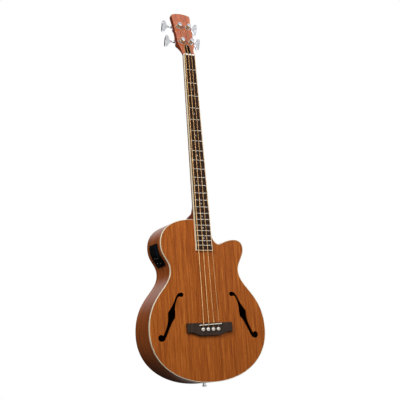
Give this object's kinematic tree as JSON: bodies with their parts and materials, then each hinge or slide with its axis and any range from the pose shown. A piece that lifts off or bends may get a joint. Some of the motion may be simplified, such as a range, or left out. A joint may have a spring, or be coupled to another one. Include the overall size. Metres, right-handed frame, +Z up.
{
  "type": "acoustic bass guitar",
  "caption": "Acoustic bass guitar with a hollow body, rounded cutaway, long sound holes, pin bridge, slanted saddle, preamp in the side and a tilted head with geared tuners.",
  "frame": {"origin": "on the centre line, in the middle of the head's thickness where it flares out above the nut: a wall hanger's fork carries it there", "axes": "+Z up along the neck to the head, +X across the body to the cutaway (treble) side, +Y from the soundboard to the back"},
  "size_m": [0.3948, 0.1261, 1.2092],
  "materials": {
    "top_wood": "satin lacquer",
    "side_wood": "gloss lacquer",
    "neck_wood": "satin lacquer",
    "inner_wood": "bare",
    "dark_wood": "oiled",
    "cream_plastic": "polished",
    "chrome_parts": "polished",
    "steel_parts": "plain",
    "pickup_brass": "plain",
    "string_bronze": "wound",
    "black_plastic": "fine grain",
    "display_glass": "clear over dark"
  },
  "bodies": {
    "guitar": {"soundboard": "top_wood", "bass_side": "side_wood", "treble_side": "side_wood", "back_plate": "side_wood", "neck": "neck_wood", "head_veneer": "neck_wood", "top_lining_bass": "inner_wood", "top_lining_treble": "inner_wood", "back_lining_bass": "inner_wood", "back_lining_treble": "inner_wood", "neck_block": "inner_wood", "tail_block": "inner_wood", "bass_tone_bar": "inner_wood", "treble_tone_bar": "inner_wood", "upper_brace": "inner_wood", "bridge_plate": "inner_wood", "back_brace_upper": "inner_wood", "back_brace_middle": "inner_wood", "back_brace_lower": "inner_wood", "fretboard": "dark_wood", "bridge": "dark_wood", "top_binding": "cream_plastic", "fretboard_binding": "cream_plastic", "nut": "cream_plastic", "saddle": "cream_plastic", "bridge_pin_1": "cream_plastic", "bridge_pin_2": "cream_plastic", "bridge_pin_3": "cream_plastic", "bridge_pin_4": "cream_plastic", "end_jack": "chrome_parts", "machine_plate_1": "chrome_parts", "machine_plate_2": "chrome_parts", "machine_plate_3": "chrome_parts", "machine_plate_4": "chrome_parts", "truss_rod": "steel_parts", "battery": "steel_parts", "saddle_pickup": "pickup_brass", "string_1": "string_bronze", "string_2": "string_bronze", "string_3": "string_bronze", "string_4": "string_bronze", "truss_rod_cover": "black_plastic", "heel_cap": "black_plastic", "preamp_panel": "black_plastic", "preamp_housing": "black_plastic", "display_window": "display_glass"},
    "tuning_post_1": {"tuning_post_1": "chrome_parts"},
    "tuning_post_2": {"tuning_post_2": "chrome_parts"},
    "tuning_post_3": {"tuning_post_3": "chrome_parts"},
    "tuning_post_4": {"tuning_post_4": "chrome_parts"},
    "tuning_key_1": {"tuning_key_1": "chrome_parts"},
    "tuning_key_2": {"tuning_key_2": "chrome_parts"},
    "tuning_key_3": {"tuning_key_3": "chrome_parts"},
    "tuning_key_4": {"tuning_key_4": "chrome_parts"},
    "bass_knob": {"bass_knob": "black_plastic"},
    "treble_knob": {"treble_knob": "black_plastic"},
    "volume_knob": {"volume_knob": "black_plastic"},
    "blend_knob": {"blend_knob": "black_plastic"},
    "tuner_button": {"tuner_button": "black_plastic"},
    "battery_door": {"battery_door": "black_plastic"}
  },
  "joints": [
    {"name": "key_1_turn", "type": "hinge", "parent": "guitar", "child": "tuning_key_1", "pos_m": [-0.0166, 0.02444, 0.03512], "axis": [1, 0, 0], "continuous": true},
    {"name": "post_1_turn", "type": "hinge", "parent": "guitar", "child": "tuning_post_1", "pos_m": [-0.0166, 0.02105, 0.02154], "axis": [0, -0.9702, 0.2424], "continuous": true},
    {"name": "key_2_turn", "type": "hinge", "parent": "guitar", "child": "tuning_key_2", "pos_m": [-0.0166, 0.03875, 0.09236], "axis": [1, 0, 0], "continuous": true},
    {"name": "post_2_turn", "type": "hinge", "parent": "guitar", "child": "tuning_post_2", "pos_m": [-0.0166, 0.03535, 0.07878], "axis": [0, -0.9702, 0.2424], "continuous": true},
    {"name": "key_3_turn", "type": "hinge", "parent": "guitar", "child": "tuning_key_3", "pos_m": [0.0166, 0.03875, 0.09236], "axis": [1, 0, 0], "continuous": true},
    {"name": "post_3_turn", "type": "hinge", "parent": "guitar", "child": "tuning_post_3", "pos_m": [0.0166, 0.03535, 0.07878], "axis": [0, -0.9702, 0.2424], "continuous": true},
    {"name": "key_4_turn", "type": "hinge", "parent": "guitar", "child": "tuning_key_4", "pos_m": [0.0166, 0.02444, 0.03512], "axis": [1, 0, 0], "continuous": true},
    {"name": "post_4_turn", "type": "hinge", "parent": "guitar", "child": "tuning_post_4", "pos_m": [0.0166, 0.02105, 0.02154], "axis": [0, -0.9702, 0.2424], "continuous": true},
    {"name": "bass_knob_turn", "type": "hinge", "parent": "guitar", "child": "bass_knob", "pos_m": [-0.13556, 0.01437, -0.68182], "axis": [-0.8596, 0, -0.511], "range_deg": [-140, 140]},
    {"name": "treble_knob_turn", "type": "hinge", "parent": "guitar", "child": "treble_knob", "pos_m": [-0.13556, 0.03137, -0.68182], "axis": [-0.8596, 0, -0.511], "range_deg": [-140, 140]},
    {"name": "volume_knob_turn", "type": "hinge", "parent": "guitar", "child": "volume_knob", "pos_m": [-0.12709, 0.01437, -0.69538], "axis": [-0.8616, 0, -0.5076], "range_deg": [-140, 140]},
    {"name": "blend_knob_turn", "type": "hinge", "parent": "guitar", "child": "blend_knob", "pos_m": [-0.12709, 0.03137, -0.69538], "axis": [-0.8616, 0, -0.5076], "range_deg": [-140, 140]},
    {"name": "tuner_button_press", "type": "slide", "parent": "guitar", "child": "tuner_button", "axis": [0.8641, 0, 0.5034], "range_m": [0, 0.001], "stiffness_N_per_m": 400, "springref_m": -0.0005},
    {"name": "battery_door_swing", "type": "hinge", "parent": "guitar", "child": "battery_door", "pos_m": [-0.14203, 0.04187, -0.67151], "axis": [0, -1, 0], "range_deg": [0, 90]}
  ],
  "couplings": [
    {"joint": "post_1_turn", "follows": "key_1_turn", "ratio": 0.05},
    {"joint": "post_2_turn", "follows": "key_2_turn", "ratio": 0.05},
    {"joint": "post_3_turn", "follows": "key_3_turn", "ratio": 0.05},
    {"joint": "post_4_turn", "follows": "key_4_turn", "ratio": 0.05}
  ]
}
